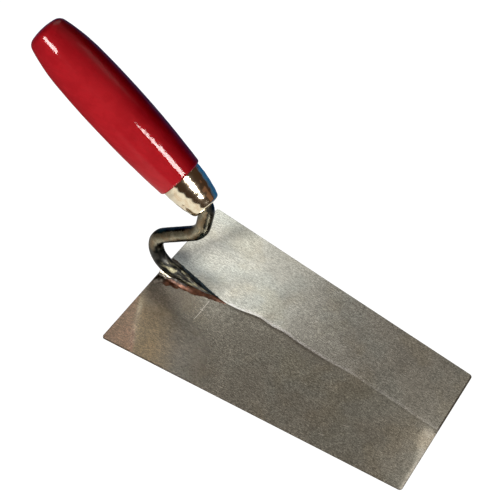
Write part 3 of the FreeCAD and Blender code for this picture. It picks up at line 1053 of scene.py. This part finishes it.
def red_lacquer():
    """Red lacquer on turned wood: faint grain, blotches and pores under a thin glossy coat."""
    red = Paint("red_lacquer", Coat_Weight=0.4, Coat_Roughness=0.05, Coat_IOR=1.5,
                Specular_IOR_Level=0.3, Specular_Tint=(1.0, 0.06, 0.07, 1.0))
    lean = (0, HANDLE_LEAN, 0)
    grain = red.noise(1.0, 4, 0.6, red.stretch((34, 520, 520), turn=lean))
    pores = red.noise(1.0, 3, 0.6, red.stretch((180, 1700, 1700), turn=lean))
    cloud = red.noise(30, 3, 0.5)
    tone = red.mix(red.remap(grain, 0.3, 0.7), RED, RED_GRAIN)
    tone = red.mix(red.remap(cloud, 0.35, 0.7, 0.0, 0.5), tone, RED_CLOUD)
    blotch = red.remap(red.noise(85, 4, 0.65), 0.45, 0.62, 0.0, 0.55)
    tone = red.mix(blotch, tone, RED_BLOTCH)
    tone = red.mix(red.remap(pores, 0.62, 0.8, 0.0, 0.35), tone, RED_PORE)
    peel = red.noise(420, 2, 0.5)
    height = red.plus(peel, red.times(pores, 0.5))
    normal = red.relief(height, 0.00012, 0.30)
    red.put(red.shader.inputs["Coat Normal"], normal)
    return red.finish(tone, red.remap(grain, 0.3, 0.7, 0.50, 0.60), normal)


# Studio. Lengths here are in metres; the lens and the sensor are in millimetres.

BLADE_MIDDLE = Vector((0, 0, 0.002))
FERRULE_MIDDLE = Vector((-0.085, 0, 0.087))
HANDLE_MIDDLE = Vector((-0.115, 0, 0.104))
HANDLE_BUTT = Vector((-0.19, 0, 0.145))
LIGHT_DISTANCE = 1.5
CREAM = (1.0, 0.97, 0.90)
# Name, subject, direction as (azimuth, elevation), size, radiance, colour and what it shines on.
LIGHTS = (
    ("key", HANDLE_MIDDLE, (-23, 38.5), (0.44, 0.62), 45, (1.0, 0.96, 0.92), "glint"),
    ("side", HANDLE_BUTT, (-106, 34), (0.46, 0.36), 47, (1.0, 0.95, 0.91), "glint"),
    ("wall", BLADE_MIDDLE, (130, 37), (0.80, 0.89), 0.97, (1.0, 1.0, 0.97), "gloss"),
    ("ceiling", BLADE_MIDDLE, (106, 64), (1.5, 1.15), 0.175, CREAM, "gloss"),
    ("toe_patch", BLADE_MIDDLE, (70, 55), (0.40, 0.44), 0.62, CREAM, "gloss"),
    ("warm_wall", FERRULE_MIDDLE, (24, 20), (0.75, 0.50), 0.15, (1.0, 0.50, 0.30), "gloss"),
    ("blue_card", FERRULE_MIDDLE, (62, 3), (1.0, 0.42), 0.19, (0.0, 0.40, 1.0), "gloss"),
    ("fill", HANDLE_MIDDLE, (-82, 21), (1.1, 0.9), 5.2, (1.0, 0.98, 0.95), "matt"),
)
FLOOR_REACH = 4.0
FLOOR_GAP = 0.0002
FLOOR_BRIGHT, FLOOR_DARK = (0.83, 0.81, 0.76), (0.045, 0.04, 0.035)
FLOOR_BLUE = (0.005, 0.085, 0.25)
FLOOR_PAINT = (0.12, 0.12, 0.12, 1.0)
FLOOR_GLOW = 1.05
WHITE = (1.0, 1.0, 1.0)
ROOM, ROOM_STRENGTH = (1.0, 0.62, 0.45, 1), 0.055
CAMERA_PLACE = Vector((0.14189, -0.42702, 0.63095))
CAMERA_RIGHT = Vector((0.8415, 0.5263, 0.1223))
CAMERA_BACK = Vector((0.2521, -0.5827, 0.7726))
LENS, SENSOR = 90, 36
BLACK_LEVEL = 0.005


def towards(subject, azimuth, elevation, distance):
    """Place at a distance from the subject; azimuth counts from +X towards +Y."""
    azimuth, elevation = math.radians(azimuth), math.radians(elevation)
    flat = math.cos(elevation)
    away = Vector((math.cos(azimuth) * flat, math.sin(azimuth) * flat, math.sin(elevation)))
    return subject + distance * away


def soft_light(name, subject, direction, size, radiance, colour, shines_on):
    """Rectangular light at LIGHT_DISTANCE, as bright in a mirror as radiance says.

    It shines on "matt" surfaces only, to fill, or in "gloss" reflections only; a "glint" shines
    in first reflections only, so that no bright spots are cast from one metal onto another.
    """
    data = bpy.data.lights.new(name, "AREA")
    data.shape = "RECTANGLE"
    data.size, data.size_y = size
    data.energy = radiance * size[0] * size[1] * math.pi
    data.color = colour
    light = bpy.data.objects.new(name, data)
    light.location = towards(subject, *direction, LIGHT_DISTANCE)
    light.rotation_euler = (subject - light.location).to_track_quat("-Z", "Y").to_euler()
    light.visible_camera = False
    light.visible_diffuse = shines_on == "matt"
    light.visible_glossy = shines_on != "matt"
    if shines_on == "glint":
        data.cycles.max_bounces = 0
    bpy.context.scene.collection.objects.link(light)


def make_floor():
    """Table that the camera sees as white, and reflections as three zones.

    It is bright around the blade, dark beyond the heel and far off, and bluish past the +Y side.
    """
    mesh = bpy.data.meshes.new("floor")
    corners = vectors((-1, -1, 0), (1, -1, 0), (1, 1, 0), (-1, 1, 0))
    mesh.from_pydata([corner * FLOOR_REACH for corner in corners], [], [(0, 1, 2, 3)])
    floor = bpy.data.objects.new("floor", mesh)
    floor.location.z = cad_box[0].z - FLOOR_GAP
    bpy.context.scene.collection.objects.link(floor)
    pale = Paint("pale_floor", Roughness=0.9, Specular_IOR_Level=0.0)
    beyond = pale.remap(pale.axis_part("Y"), 0.05, 0.13)
    near = pale.remap(pale.axis_part("Y"), -1.3, -0.35)
    near = pale.times(near, pale.remap(pale.axis_part("X"), -0.19, -0.09))
    glow = pale.mix(near, FLOOR_DARK, FLOOR_BRIGHT)
    glow = pale.mix(beyond, glow, FLOOR_BLUE)
    seen = pale.node("ShaderNodeLightPath").outputs["Is Camera Ray"]
    pale.put(pale.shader.inputs["Emission Color"], pale.mix(seen, glow, WHITE))
    pale.shader.inputs["Emission Strength"].default_value = FLOOR_GLOW
    floor.data.materials.append(pale.finish(FLOOR_PAINT))


def make_room():
    """Dim warm room that looks white where the camera sees past the floor."""
    world = bpy.data.worlds.new("studio")
    bpy.context.scene.world = world
    world.use_nodes = True
    nodes, links = world.node_tree.nodes, world.node_tree.links
    room = nodes["Background"]
    room.inputs["Color"].default_value = ROOM
    room.inputs["Strength"].default_value = ROOM_STRENGTH
    backdrop = nodes.new("ShaderNodeBackground")
    backdrop.inputs["Color"].default_value = (*WHITE, 1)
    seen = nodes.new("ShaderNodeLightPath")
    choice = nodes.new("ShaderNodeMixShader")
    links.new(seen.outputs["Is Camera Ray"], choice.inputs[0])
    links.new(room.outputs[0], choice.inputs[1])
    links.new(backdrop.outputs[0], choice.inputs[2])
    links.new(choice.outputs[0], nodes["World Output"].inputs["Surface"])


def make_camera():
    """Seen from above, over the trowel's -Y side, the toe away to the lower right."""
    data = bpy.data.cameras.new("camera")
    data.lens = LENS
    data.sensor_width = SENSOR
    camera = bpy.data.objects.new("camera", data)
    up = CAMERA_BACK.cross(CAMERA_RIGHT)
    turn = Matrix((CAMERA_RIGHT, up, CAMERA_BACK)).transposed().to_4x4()
    camera.matrix_world = Matrix.Translation(CAMERA_PLACE) @ turn
    bpy.context.scene.collection.objects.link(camera)
    bpy.context.scene.camera = camera


make_blade()
make_neck()
make_welds()
make_ferrule()
make_handle()
for light in LIGHTS:
    soft_light(*light)
make_floor()
make_room()
make_camera()
view = bpy.context.scene.view_settings
view.view_transform = "Standard"
view.use_curve_mapping = True
view.curve_mapping.black_level = (BLACK_LEVEL,) * 3
